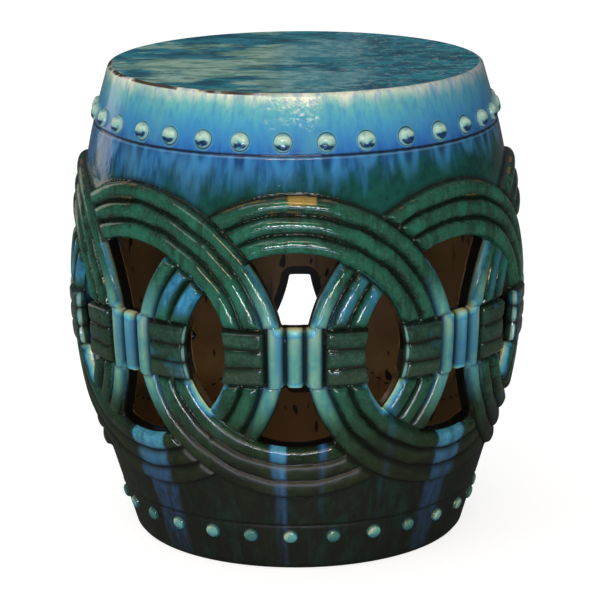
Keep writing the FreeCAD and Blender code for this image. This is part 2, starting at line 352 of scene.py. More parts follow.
def cutGrid(heights, columns, pointAt, shift):
    # Regular grid round the barrel, cut where the field says that a window starts. shift moves the
    # cut into the clay by that many millimetres. Cut points lie on the cells' sides, found by the
    # share of the side at which the field passes zero.
    angles = (np.arange(columns) + 0.5) * 360.0 / columns - 180
    z, angle = np.meshgrid(heights, angles, indexing="ij")
    field = skin(angle, z)
    points = pointAt(angle, z, field)
    rows = len(heights)
    index = np.arange(rows * columns).reshape(rows, columns)
    right = np.roll(index, -1, 1)
    flatOpen = field["open"].ravel() + shift
    flatAngle, flatZ = angle.ravel(), z.ravel()
    inside = flatOpen < 0
    code, table = marchingCells(inside.reshape(rows, columns).astype(int))
    code = code.ravel()
    cutId, cutAngle, cutZ, cutSides = [], [], [], []
    nextId = rows * columns
    for a, b in ((index, right), (index[:-1], index[1:])):
        crossing = inside[a] != inside[b]
        a, b = a[crossing], b[crossing]
        share = flatOpen[a] / (flatOpen[a] - flatOpen[b])
        turn = (flatAngle[b] - flatAngle[a] + 180) % 360 - 180
        cutAngle.append(flatAngle[a] + turn * share)
        cutZ.append(flatZ[a] + (flatZ[b] - flatZ[a]) * share)
        cutSides.append(np.stack([a, b]))
        ids = np.full(crossing.shape, -1)
        ids[crossing] = nextId + np.arange(len(a))
        nextId += len(a)
        cutId.append(ids)
    along, upright = cutId
    corners = [index[:-1], right[:-1], right[1:], index[1:]]
    sides = [along[:-1], np.roll(upright, -1, 1), along[1:], upright]
    lookup = np.stack([c.ravel() for c in corners + sides])
    edgeAngle, edgeZ = np.concatenate(cutAngle), np.concatenate(cutZ)
    edgeField = skin(edgeAngle, edgeZ)
    edgePoints = pointAt(edgeAngle, edgeZ, edgeField)

    polygons, rims = [], []
    for case, loops in table.items():
        cells = np.nonzero(code == case)[0]
        for loop in loops:
            polygons.append(lookup[loop][:, cells].T)
            for n, c in enumerate(loop):
                after = loop[(n + 1) % len(loop)]
                if c >= 4 and after >= 4:
                    rims.append(np.stack([lookup[c, cells], lookup[after, cells]], 1))
    return {
        "angle": np.concatenate([flatAngle, edgeAngle]), "z": np.concatenate([flatZ, edgeZ]),
        "points": np.concatenate([points.reshape(-1, 3), edgePoints]),
        "field": {k: np.concatenate([field[k].ravel(), edgeField[k]]) for k in field},
        "polygons": polygons, "rims": np.concatenate(rims) - rows * columns,
        "gridShape": (rows, columns), "gridCount": rows * columns,
        "edgeAngle": edgeAngle, "edgeZ": edgeZ, "edgeSides": np.concatenate(cutSides, 1),
    }


def openingSlope(angle, z):
    # direction towards the window, as (across, up), from central differences of the field
    step = 0.4
    turn = np.degrees(step / wallRadius(z))
    across = skin(angle + turn, z)["open"] - skin(angle - turn, z)["open"]
    up = skin(angle, z + step)["open"] - skin(angle, z - step)["open"]
    size = np.sqrt(across ** 2 + up ** 2) + 1e-6
    return across / size, up / size


def nearestEdge(data):
    # Distance in mm from each grid point to the nearest point of a window's edge, and which one it
    # is. Each point takes over the nearest edge point of its neighbours, first far off, then close by.
    rows, columns = data["gridShape"]
    points = data["points"][:rows * columns].reshape(rows, columns, 3)
    edges = data["points"][rows * columns:]
    nearest = np.full(rows * columns, -1)
    for side in data["edgeSides"]:
        nearest[side] = np.arange(len(edges))
    nearest = nearest.reshape(rows, columns)
    distance = np.where(nearest < 0, mesh["far"], np.linalg.norm(points - edges[nearest], axis=-1))
    for step in (16, 8, 4, 2, 1, 1):
        for down in (-step, 0, step):
            for along in (-step, 0, step):
                other = np.roll(nearest, (down, along), (0, 1))
                gap = np.where(other < 0, mesh["far"], np.linalg.norm(points - edges[other], axis=-1))
                nearest = np.where(gap < distance, other, nearest)
                distance = np.minimum(gap, distance)
    return distance, nearest


# Angle, half width (degrees) and length (mm) of the longest runs below the windows
longRuns = [(-5.2, 1.6, 42), (-3.8, 0.8, 85), (7.0, 1.3, 26), (-43.5, 5.6, 62), (45.4, 4.6, 60),
            (88.0, 2.0, 60), (133.0, 2.6, 70), (178.0, 1.8, 60), (-92.0, 2.4, 60), (-138.0, 1.6, 80)]
otherRuns = (5, 60)         # shortest of the others, and what the longest has on top
dropStretch = (3.4, 1.2)    # a drop's length in stud radii, and how far that varies


def glazeRuns(heights, columns, isOpen, lip):
    # Runs of glaze below the windows' lower edges. Each column has its own length, from waves round
    # the barrel, shorter near the front, or from longRuns. Going down it, a run keeps the largest
    # share so far and loses it at that column's own rate, and at once across a window:
    # run(z) = max over z' above z of lip(z') * exp(-(loss between z' and z)).
    angle = (np.arange(columns) + 0.5) * 360.0 / columns - 180
    turn = np.radians(angle)
    chance = 0.5 + 0.22 * np.sin(17 * turn + 1.0) + 0.18 * np.sin(41 * turn + 2.2)
    chance = chance + 0.16 * np.sin(73 * turn + 0.5)
    shortest, more = otherRuns
    length = shortest + more * smoothStep(chance, 0.62, 0.92) * smoothStep(np.abs(angle), 12, 30)
    for centre, half, reach in longRuns:
        gap = np.abs((angle - centre + 180) % 360 - 180)
        length = np.maximum(length, reach * smoothStep(half - gap, -1.6, 1.4))
    step = np.abs(np.gradient(heights))[:, None]
    loss = np.where(isOpen, 1.0, 1.0 / length[None]) * step
    down = np.cumsum(loss[::-1], axis=0)
    source = np.log(np.maximum(lip[::-1] * smoothStep(length, 8, 36), 1e-6)) + down
    run = np.exp(np.maximum.accumulate(source, axis=0) - down)
    return np.clip(run[::-1], 0, 1)




class Soup:
    # Collects points, faces and per-point values, and cuts them into pieces by part and ring
    def __init__(self):
        self.points, self.values, self.faces, self.count = [], [], [], 0

    def addPoints(self, points, values):
        start = self.count
        self.points.append(points)
        self.values.append(values)
        self.count += len(points)
        return start

    def addFaces(self, polygons, faceLabel, finish):
        if len(polygons):
            self.faces.append((polygons, faceLabel, finish))


def valueTable(field, away, lipUp, run, halo):
    # nine numbers to a point: distance to a window, cleft, relief / turquoise, run, halo / and how far
    # the window lies above (-1 to 1), how blue a rib is, and whether the window is a narrow side one
    return np.stack([
        np.clip(away, 0, 60), np.clip(field["cleft"], 0, 60), field["relief"],
        field["turquoise"], run, halo, lipUp, field["blue"], field["lens"],
    ], 1)


def studPlaces(row):
    # Even places, and the small slips (degrees) of the studs in view, listed one by one.
    places = row["turn"] + 360.0 * np.arange(row["count"]) / row["count"]
    slips = np.zeros(row["count"])
    slips[(np.arange(len(row["slips"])) - row["firstSlip"]) % row["count"]] = row["slips"]
    return places + slips


def studHalo(angle, z):
    # Millimetres from the rim of the nearest stud. Below the upper incised line it is measured to a
    # long drop that hangs from the stud instead, and 100 is added, so that the glaze can tell them apart.
    best = np.full(np.shape(angle), 60.0)
    for row in studRows.values():
        near = np.abs(z - row["height"]) < 6 * row["radius"]
        gap = (angle[near][:, None] - studPlaces(row) + 180) % 360 - 180
        nearest = np.abs(gap).argmin(1)
        across = np.radians(np.abs(gap).min(1)) * wallRadius(row["height"])
        hanging = (z[near] < barrel["lineHeights"][0]) & (row["height"] > barrel["bellyHeight"])
        stretch = np.where(hanging, dropStretch[0] + dropStretch[1] * np.sin(nearest * 2.3), 1.0)
        away = np.hypot(across, (z[near] - row["height"]) / stretch) - row["radius"]
        best[near] = np.where(hanging, 100 + away, np.minimum(best[near], away))
    return best


def partLabel(field, z):
    # one number to a piece: rings 0 to 7, tie bars 8 to 15, cords 16 to 23, then the three walls
    part = field["part"]
    label = np.where(part <= 2, part * lattice["count"] + field["ring"], labelOf["rings"] - 3 + part)
    return np.where(z > barrel["height"] - barrel["seat"], labelOf["seat"], label)


def nodeAndSlot(label):
    # the frame's node and slot; rings, tie bars and cords are numbered from 1
    if label < labelOf["rings"]:
        name, slot = parts[label // lattice["count"]]
        return name + "_" + str(label % lattice["count"] + 1), slot
    return parts[label - labelOf["rings"] + 3]


def faceLabels(data, polygons):
    # a face goes to the piece that its middle lies in
    first = data["angle"][polygons[:, :1]]
    turn = (data["angle"][polygons] - first + 180) % 360 - 180
    angle = (first + turn).mean(1)
    z = data["z"][polygons].mean(1)
    return partLabel(skin(angle, z), z)


def addSkin(soup):
    # The glazed skin: the barrel's point plus relief(angle, z) along its normal, on a grid that is
    # cut at the windows, with flanks that go from the cut into the wall
    heights = rowHeights()
    columns = mesh["columnsPerRing"] * lattice["count"]
    data = cutGrid(heights, columns, lambda a, z, f: skinPoint(a, z, f["relief"]), 0.0)
    field = data["field"]
    n = data["gridCount"]
    edgeAcross, edgeUp = openingSlope(data["edgeAngle"], data["edgeZ"])
    distance, nearest = nearestEdge(data)
    facing = np.where(nearest < 0, -1, edgeUp[nearest])
    source = smoothStep(distance, 9, 3) * smoothStep(facing, 0.3, 0.8)    # lower edges, 9 mm wide
    isOpen = (field["open"][:n] > 0).reshape(data["gridShape"])
    run2d = glazeRuns(heights, columns, isOpen, source)
    row = np.clip(np.searchsorted(heights, data["edgeZ"]), 0, len(heights) - 1)
    column = np.floor((data["edgeAngle"] + 180) / 360 * columns).astype(int) % columns
    run = np.concatenate([run2d.ravel(), run2d[row, column]])
    lipUp = np.concatenate([facing.ravel(), edgeUp])
    away = np.concatenate([distance.ravel(), np.zeros(len(edgeUp))])
    halo = studHalo(data["angle"], data["z"])
    values = valueTable(field, away, lipUp, run, halo)
    start = soup.addPoints(data["points"], values)
    data["start"] = start
    for polygons in data["polygons"]:
        soup.addFaces(polygons + start, faceLabels(data, polygons), onSkin)
    # flanks: rows that go from the skin's edge straight into the wall, and round off at the lining
    edgeValues = values[n:]
    edgeRelief = field["relief"][n:]
    wall = -barrel["wall"]
    rim = data["rims"]
    edgeLabels = faceLabels(data, rim + n)
    before = start + n + np.arange(len(edgeRelief))
    for k in range(1, mesh["flankRows"] + 1):
        share = k / mesh["flankRows"]
        relief = edgeRelief + (wall - edgeRelief) * share
        into = 1.8 * np.clip((share - 0.8) / 0.2, 0, 1) ** 2
        relief = np.where(k == mesh["flankRows"], wall + 0.3, relief)
        angle = data["edgeAngle"] - np.degrees(into * edgeAcross / wallRadius(data["edgeZ"]))
        z = data["edgeZ"] - into * edgeUp
        rowValues = edgeValues.copy()
        rowValues[:, 2] = relief
        after = soup.addPoints(skinPoint(angle, z, relief), rowValues) + np.arange(len(edgeRelief))
        quads = np.stack([before[rim[:, 1]], before[rim[:, 0]], after[rim[:, 0]], after[rim[:, 1]]], 1)
        soup.addFaces(quads, edgeLabels, onSkin)
        before = after
    return data


def liningRelief(z):
    # the wall thickens towards the foot
    extra = barrel["footWidth"] - barrel["wall"]
    return -barrel["wall"] - extra * np.clip(1 - z / barrel["footRise"], 0, 1)


def addLining(soup):
    # the wall's inner face: the skin's grid again, coarser, set in by the wall's thickness
    heights = np.linspace(1.5, barrel["height"] - barrel["seat"], mesh["liningRows"])
    data = cutGrid(heights, mesh["liningColumns"], lambda a, z, f: skinPoint(a, z, liningRelief(z)),
                   mesh["liningShift"])
    n = len(data["points"])
    distance, _ = nearestEdge(data)
    away = np.concatenate([distance.ravel(), np.zeros(n - distance.size)])
    values = valueTable(data["field"], away, np.zeros(n), np.zeros(n), np.full(n, 60.0))
    values[:, 2] = -barrel["wall"]
    start = soup.addPoints(data["points"], values)
    for polygons in data["polygons"]:
        soup.addFaces(polygons[:, ::-1] + start, faceLabels(data, polygons), onClay)


def addLathe(soup, radii, heights, label, finish, below=None, above=None, pole=False, down=False):
    # A half section of (radius, height) turned round the axis, closed by a fan where it meets the
    # axis. below and above are rows of points that are there already and take the place of its own.
    columns = mesh["columnsPerRing"] * lattice["count"]
    angle = np.radians((np.arange(columns) + 0.5) * 360.0 / columns - 180)
    radii, heights = np.asarray(radii, float), np.asarray(heights, float)
    grid = np.stack([radii[:, None] * np.sin(angle), -radii[:, None] * np.cos(angle),
                     np.repeat(heights[:, None], columns, 1)], -1)
    values = np.zeros((grid.shape[0] * columns, 9))
    values[:, :2] = 60
    values[:, 5] = 60
    start = soup.addPoints(grid.reshape(-1, 3), values)
    index = start + np.arange(grid.shape[0] * columns).reshape(-1, columns)
    if below is not None:
        index = np.concatenate([below[None], index])
    if above is not None:
        index = np.concatenate([index, above[None]])
    right = np.roll(index, -1, 1)
    quads = np.stack([index[:-1], right[:-1], right[1:], index[1:]], -1).reshape(-1, 4)
    fans = []
    if pole:
        tip = soup.addPoints(np.array([[0, 0, heights[-1]]]), values[:1])
        fans = [np.stack([index[-1], right[-1], np.full(columns, tip)], 1)]
    for polygons in [quads] + fans:
        polygons = polygons[:, ::-1] if down else polygons
        soup.addFaces(polygons, np.full(len(polygons), label), finish)
    return index[-1]


def addSeatAndFoot(soup, skinData):
    # The seat's top and underside and the foot, turned round the axis. Both rims are quarter circles:
    # radius = outer - r (1 - cos t) and height = top - r + r sin t, with t from 0 to 90 degrees.
    rows, columns = skinData["gridShape"]
    firstRow = skinData["start"] + np.arange(columns)
    lastRow = firstRow + (rows - 1) * columns
    top, r = barrel["height"], barrel["seatRound"]
    rimRadius = float(wallRadius(top))
    lowRadius = float(wallRadius(top - r))
    turn = np.radians(np.linspace(0, 90, 9))[1:]
    radii = rimRadius + (lowRadius - rimRadius) * (1 - np.sin(turn)) - r * (1 - np.cos(turn))
    heights = top - r + r * np.sin(turn)
    inner = np.linspace(radii[-1] - 1.0, 3.0, 40)
    depth, slope = barrel["seatDish"]
    dish = depth * smoothStep(inner, radii[-1], radii[-1] - slope)
    rim = addLathe(soup, radii, heights, labelOf["seat"], onSkin, below=lastRow)
    addLathe(soup, inner, top - dish, labelOf["seat"], onSeat, below=rim, pole=True)
    level = top - barrel["seat"]
    under = np.linspace(float(wallRadius(level)) - barrel["wall"] + 1, 3.0, 6)
    addLathe(soup, under, np.full(6, level), labelOf["seat"], onClay, pole=True, down=True)
    f = barrel["footRound"]
    foot = float(wallRadius(0.0))
    turn = np.radians(np.linspace(0, 90, 7))[:-1]
    innerX = foot - barrel["footWidth"]
    sole = addLathe(soup, [innerX + 0.1, innerX + 2.0, foot - f], [1.5, 0.0, 0.0], labelOf["skirt"], onClay)
    radii, heights = foot - f + f * np.sin(turn[1:]), f - f * np.cos(turn[1:])
    addLathe(soup, radii, heights, labelOf["skirt"], onSkin, below=sole, above=firstRow)


def buildPieces(soup):
    # one mesh for each label, from the faces that carry it, with the points' values as attributes
    points = np.concatenate(soup.points)
    values = np.concatenate(soup.values)
    made = {}
    for label in sorted({int(v) for _, faceLabel, _ in soup.faces for v in np.unique(faceLabel)}):
        groups = [(polygons[faceLabel == label], finish) for polygons, faceLabel, finish in soup.faces]
        groups = [(polygons, finish) for polygons, finish in groups if len(polygons)]
        corners = np.concatenate([polygons.ravel() for polygons, _ in groups])
        sizes = np.concatenate([np.full(len(polygons), polygons.shape[1]) for polygons, _ in groups])
        finishes = np.concatenate([np.full(len(polygons), finish) for polygons, finish in groups])
        used, local = np.unique(corners, return_inverse=True)
        data = bpy.data.meshes.new(nodeAndSlot(label)[0] + "_glazed")
        data.vertices.add(len(used))
        data.vertices.foreach_set("co", (points[used] / 1000).astype(np.float32).ravel())
        data.loops.add(len(corners))
        data.loops.foreach_set("vertex_index", local.astype(np.int32).ravel())
        data.polygons.add(len(sizes))
        starts = np.concatenate([[0], np.cumsum(sizes)[:-1]])
        data.polygons.foreach_set("loop_start", starts.astype(np.int32))
        data.polygons.foreach_set("material_index", finishes.astype(np.int32))
        data.update(calc_edges=True)
        for n, name in enumerate(("glazeEdge", "glazeFlow", "glazeRim")):
            layer = data.attributes.new(name, "FLOAT_VECTOR", "POINT")
            layer.data.foreach_set("vector", values[used, 3 * n:3 * n + 3].astype(np.float32).ravel())
        data.shade_smooth()
        piece = bpy.data.objects.new(data.name, data)
        bpy.context.collection.objects.link(piece)
        made[label] = (piece, used)
    return made


def meetSmoothly(soup, made):
    # Each piece takes its corner normals from the whole skin, so that no seam shows between pieces.
    # A point's normal is the sum of its faces' area vectors, over all pieces.
    points = np.concatenate(soup.points)
    corners, areas = [], []
    for polygons, _, _ in soup.faces:
        p = points[polygons]
        area = np.zeros((len(polygons), 3))
        for n in range(1, polygons.shape[1] - 1):
            area += np.cross(p[:, n] - p[:, 0], p[:, n + 1] - p[:, 0])
        corners.append(polygons.T.ravel())
        areas.append(np.tile(area, (polygons.shape[1], 1)))
    corners, areas = np.concatenate(corners), np.concatenate(areas)
    normals = np.stack([np.bincount(corners, areas[:, n], len(points)) for n in range(3)], 1)
    normals /= np.linalg.norm(normals, axis=1, keepdims=True) + 1e-12
    for piece, used in made.values():
        piece.data.normals_split_custom_set_from_vertices(normals[used].tolist())


soup = Soup()
skinData = addSkin(soup)
print("skin", skinData["gridShape"], "window edge points", len(skinData["edgeZ"]))
addLining(soup)
addSeatAndFoot(soup, skinData)
made = buildPieces(soup)
meetSmoothly(soup, made)
print("pieces", len(made), "points", soup.count)
for label, (piece, _) in made.items():
    node, slot = nodeAndSlot(label)
    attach(piece, "root")
    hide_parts(node)


def buildStuds(name, row):
    # Domed studs of one row: radius and lift follow a dome, on the wall's own tangent plane.
    # studFace holds the place across and up the stud, from -1 to 1.
    spokes, rings = 28, 8
    turn = 2 * math.pi * np.arange(spokes) / spokes
    climb = np.linspace(0, math.pi / 2, rings)
    share = np.concatenate([[1.02, 1.0], np.cos(climb[1:-1]) ** 0.8])
    lift = np.concatenate([[-0.6, 0.25], 0.12 + 0.88 * np.sin(climb[1:-1])])
    allPoints, allFaces, allValues = [], [], []
    slope = float(wallRadius(row["height"] + 0.5) - wallRadius(row["height"] - 0.5))
    size = math.sqrt(1 + slope * slope)
    count = 0
    for n, place in enumerate(studPlaces(row)):
        a = math.radians(place)
        outward = np.array([math.sin(a), -math.cos(a), -slope]) / size
        sideways = np.array([math.cos(a), math.sin(a), 0])
        upward = np.cross(outward, sideways)
        wobble = 1 + 0.04 * math.sin(7.3 * n) + 0.03 * math.sin(3.1 * n + 1)
        centre = onBarrel(np.array(place), np.array(row["height"] + 0.5 * math.sin(5.7 * n)), np.array(0.0))
        x = share[:, None] * np.cos(turn)
        y = share[:, None] * np.sin(turn)
        grid = centre + row["radius"] * wobble * (x[..., None] * sideways + y[..., None] * upward)
        grid = grid + row["relief"] * lift[:, None, None] * outward
        tip = centre + row["relief"] * outward
        index = count + np.arange(grid.shape[0] * spokes).reshape(-1, spokes)
        right = np.roll(index, -1, 1)
        quads = np.stack([index[:-1], right[:-1], right[1:], index[1:]], -1).reshape(-1, 4)
        tipIndex = count + index.size
        allFaces += quads.tolist()
        allFaces += np.stack([index[-1], right[-1], np.full(spokes, tipIndex)], 1).tolist()
        allPoints.append(np.concatenate([grid.reshape(-1, 3), tip[None]]))
        face = np.stack([x.ravel(), y.ravel(), np.full(x.size, (n * 0.618) % 1)], 1)
        allValues.append(np.concatenate([face, [[0, 0, (n * 0.618) % 1]]]))
        count = tipIndex + 1
    data = bpy.data.meshes.new(name + "_glazed")
    data.from_pydata((np.concatenate(allPoints) / 1000).tolist(), [], allFaces)
    layer = data.attributes.new("studFace", "FLOAT_VECTOR", "POINT")
    layer.data.foreach_set("vector", np.concatenate(allValues).astype(np.float32).ravel())
    data.shade_smooth()
    piece = bpy.data.objects.new(data.name, data)
    bpy.context.collection.objects.link(piece)
    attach(piece, "root")
    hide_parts(name)
    return piece


studs = [buildStuds("upper_studs", studRows["upper"]), buildStuds("lower_studs", studRows["lower"])]
print("studs built")


def paint(code):
    # sRGB hex code to linear colour
    parts = [int(code[n:n + 2], 16) / 255 for n in (1, 3, 5)]
    return [p / 12.92 if p <= 0.04045 else ((p + 0.055) / 1.055) ** 2.4 for p in parts] + [1.0]


# Words for the nodes used: Blender's name, settings, input sockets in order and output. step and
# line map a range of the first input to 0 and 1, or to two given values, softly or evenly.
nodeWords = {
    "step": ("MapRange", {"interpolation_type": "SMOOTHSTEP"}, (0, 1, 2, 3, 4), 0),
    "line": ("MapRange", {}, (0, 1, 2, 3, 4), 0),
    "mix": ("Mix", {"data_type": "RGBA"}, (0, 6, 7), 2),
    "ramp": ("ValToRGB", {}, (0,), 0),
    "noise": ("TexNoise", {}, ("Vector", "Scale", "Detail", "Roughness"), 0),
    "stretch": ("VectorMath", {"operation": "MULTIPLY"}, (0, 1), 0),
    "parts": ("SeparateXYZ", {}, (0,), (0, 1, 2)),
    "shaders": ("MixShader", {}, (0, 1, 2), 0),
}
mathWords = {"times": "MULTIPLY", "plus": "ADD", "minus": "SUBTRACT", "over": "DIVIDE",
             "larger": "MAXIMUM", "smaller": "MINIMUM", "size": "ABSOLUTE", "root": "SQRT"}
nodeWords.update({word: ("Math", {"operation": name}, (0, 1), 0) for word, name in mathWords.items()})


def adderFor(tree):
    # The one function that adds a node to this tree. Values go to the word's sockets in order, and
    # inputs to sockets by name; each is a constant or another node's output. times and plus take
    # more than two values.
    def add(word, *values, inputs=None, stops=(), output=None, **settings):
        if word in ("times", "plus") and len(values) > 2:
            values = (add(word, *values[:-1]), values[-1])
        kind, preset, sockets, given = nodeWords.get(word, (word, {}, (), 0))
        node = tree.nodes.new("ShaderNode" + kind)
        for name, value in {**preset, **settings}.items():
            setattr(node, name, value)
        for key, value in {**dict(zip(sockets, values)), **(inputs or {})}.items():
            if isinstance(value, bpy.types.NodeSocket):
                tree.links.new(value, node.inputs[key])
            else:
                node.inputs[key].default_value = value
        for n, (place, code) in enumerate(stops):
            if n >= len(node.color_ramp.elements):
                node.color_ramp.elements.new(1.0)
            node.color_ramp.elements[n].position = place
            node.color_ramp.elements[n].color = paint(code)
        output = given if output is None else output
        if isinstance(output, tuple):
            return [node.outputs[n] for n in output]
        return node.outputs[output] if len(node.outputs) else None
    return add


def newMaterial(name):
    material = bpy.data.materials.new(name)
    material.use_nodes = True
    material.node_tree.nodes.clear()
    return material, adderFor(material.node_tree)


def coats(add, colour, *layers):
    # lays coats over a colour in turn: each is the share of it that shows, and its colour
    for share, tint in layers:
        colour = add("mix", share, colour, tint)
    return colour


def finishGlaze(add, colour, roughness, bump, depth=0.0005):
    # glass-like glaze with slow waves, depth in metres
    waves = add("Bump", inputs={"Height": bump, "Strength": 0.7, "Distance": depth})
    shader = add("BsdfPrincipled", inputs={
        "Base Color": colour, "Roughness": roughness, "IOR": 1.5, "Normal": waves})
    add("OutputMaterial", inputs={"Surface": shader})


# Waves to a metre, worked out from the size of the real mark
patterns = {
    "grain": 420,           # 2.4 mm: pits and pale specks
    "fineStreak": 230,      # 4.3 mm, hanging
    "wobble": 170,          # 6 mm: the glaze's edge on a stud
    "clayMarks": 150,       # 7 mm: iron specks
    "mottle": 120,          # 8 mm
    "speckle": 85,          # 12 mm
    "broadStreak": 75,      # 13 mm, hanging
    "seatPatch": 46,        # 22 mm
    "clayShade": 45,        # 22 mm
    "cloud": 26,            # 38 mm
    "seatCloud": 17,        # 59 mm
    "hang": 0.09,           # how far a hanging mark is squeezed in z, so that it is 11 times as long
}


def hangingNoise(add, place):
    # noise in x, y and z with z squeezed, so that it hangs down in streaks: fine and broad ones
    down = add("stretch", place, (1, 1, patterns["hang"]))
    return (add("noise", down, patterns["fineStreak"], 2, 0.55),
            add("noise", down, patterns["broadStreak"], 2, 0.5))


# Heights in millimetres where one glaze gives way to another, from the first to the second
glazeHeights = {
    "shoulder": (404.0, 460.0),
    "pits": (430.0, 455.0),
    "bareRim": (457.6, 458.6),
    "cobalt": (366.0, 408.0),
    "navy": (392.0, 406.0),
    "dropSides": (372.0, 404.0),
    "dropCore": (378.0, 400.0),
    "overLine": (405.0, 407.5),
    "lineMiddle": 406.0,
    "lineEdge": 403.6,
    "ribOlive": (95.0, 235.0),
    "lapOlive": (218.0, 205.0),
    "skirt": (150.0, 330.0),
    "tieTop": (222.0, 250.0),
    "tieEnd": (251.0, 254.0),
    "narrowLip": (132.0, 152.0),
    "bareEdge": (349.0, 361.0),
    "ochrePatch": (363.5, 365.5),
    "upperStuds": (200.0, 260.0),
    "satin": (190.0, 120.0),
}
glazeRamps = {
    "shoulder": [(0.0, "#204c8a"), (0.16, "#2f6ba8"), (0.40, "#4089b4"), (0.62, "#509fb2"),
                 (0.78, "#68aeae"), (0.90, "#b0ccb8"), (1.0, "#e0e0ca")],
    "strand": [(0.40, "#699884"), (0.52, "#4f8b82"), (0.62, "#3f7c88"), (0.74, "#2b5c86")],
    "lip": [(0.0, "#d0c597"), (0.26, "#b2caa6"), (0.52, "#78bbb0"), (0.80, "#4899b0"), (1.0, "#3278a4")],
}
glazeTints = {
    # shoulder
    "blueStreak": "#2f78b0", "rightBlue": "#2a5f9f", "seaCloud": "#5c9f9e", "pit": "#7b7a55",
    "rimClay": "#43321c",
    # wall below the incised line
    "bottle": "#174a42", "deepBottle": "#0f332e", "cobalt": "#1b4776", "paleCobalt": "#316f9f",
    "greyCobalt": "#3c6a7e", "navy": "#1d3a72", "dropSide": "#3f86b6", "dropCore": "#16305e",
    "inLine": "#131d3d", "lineEdge": "#6c9fc0",
    # skirt
    "skirt": "#12150b", "skirtTeal": "#0e2a1e", "skirtOlive": "#18190b", "skirtSpeck": "#263226",
    # rings
    "rib": "#1f5c4a", "darkRib": "#17291d", "ribSpeck": "#448070", "crown": "#27624c",
    "ribStreak": "#1a2a1a", "olive": "#202a10", "darkOlive": "#111707", "oliveSpeck": "#303d2c",
    "azure": "#22587a", "paleAzure": "#3b88ae",
    # cords and ties
    "lap": "#274738", "darkLap": "#17281e", "lowLap": "#2b382a", "lapBlue": "#2c6f8a",
    "lapSpeck": "#4a6d5e", "tieTop": "#8aae92", "tieFringe": "#2b6c9c",
    # runs, lips and grooves
    "runTail": "#27527f", "runHead": "#3f8fa6", "runStreak": "#2c66a2", "runSpeck": "#7dbab0",
    "hairLip": "#4d8f96", "pooledAndShade": "#0f190f", "groove": "#16120b",
    # windows' flanks, bare edges and studs
    "flank": "#0c0b08", "bareFlank": "#4a3a24", "blueFlank": "#1a6a9c", "bareEdge": "#6a5a3a",
    "ochre": "#6f5c2c", "paleOchre": "#a1863f", "studRing": "#6aa6ae", "studLine": "#12283f",
}


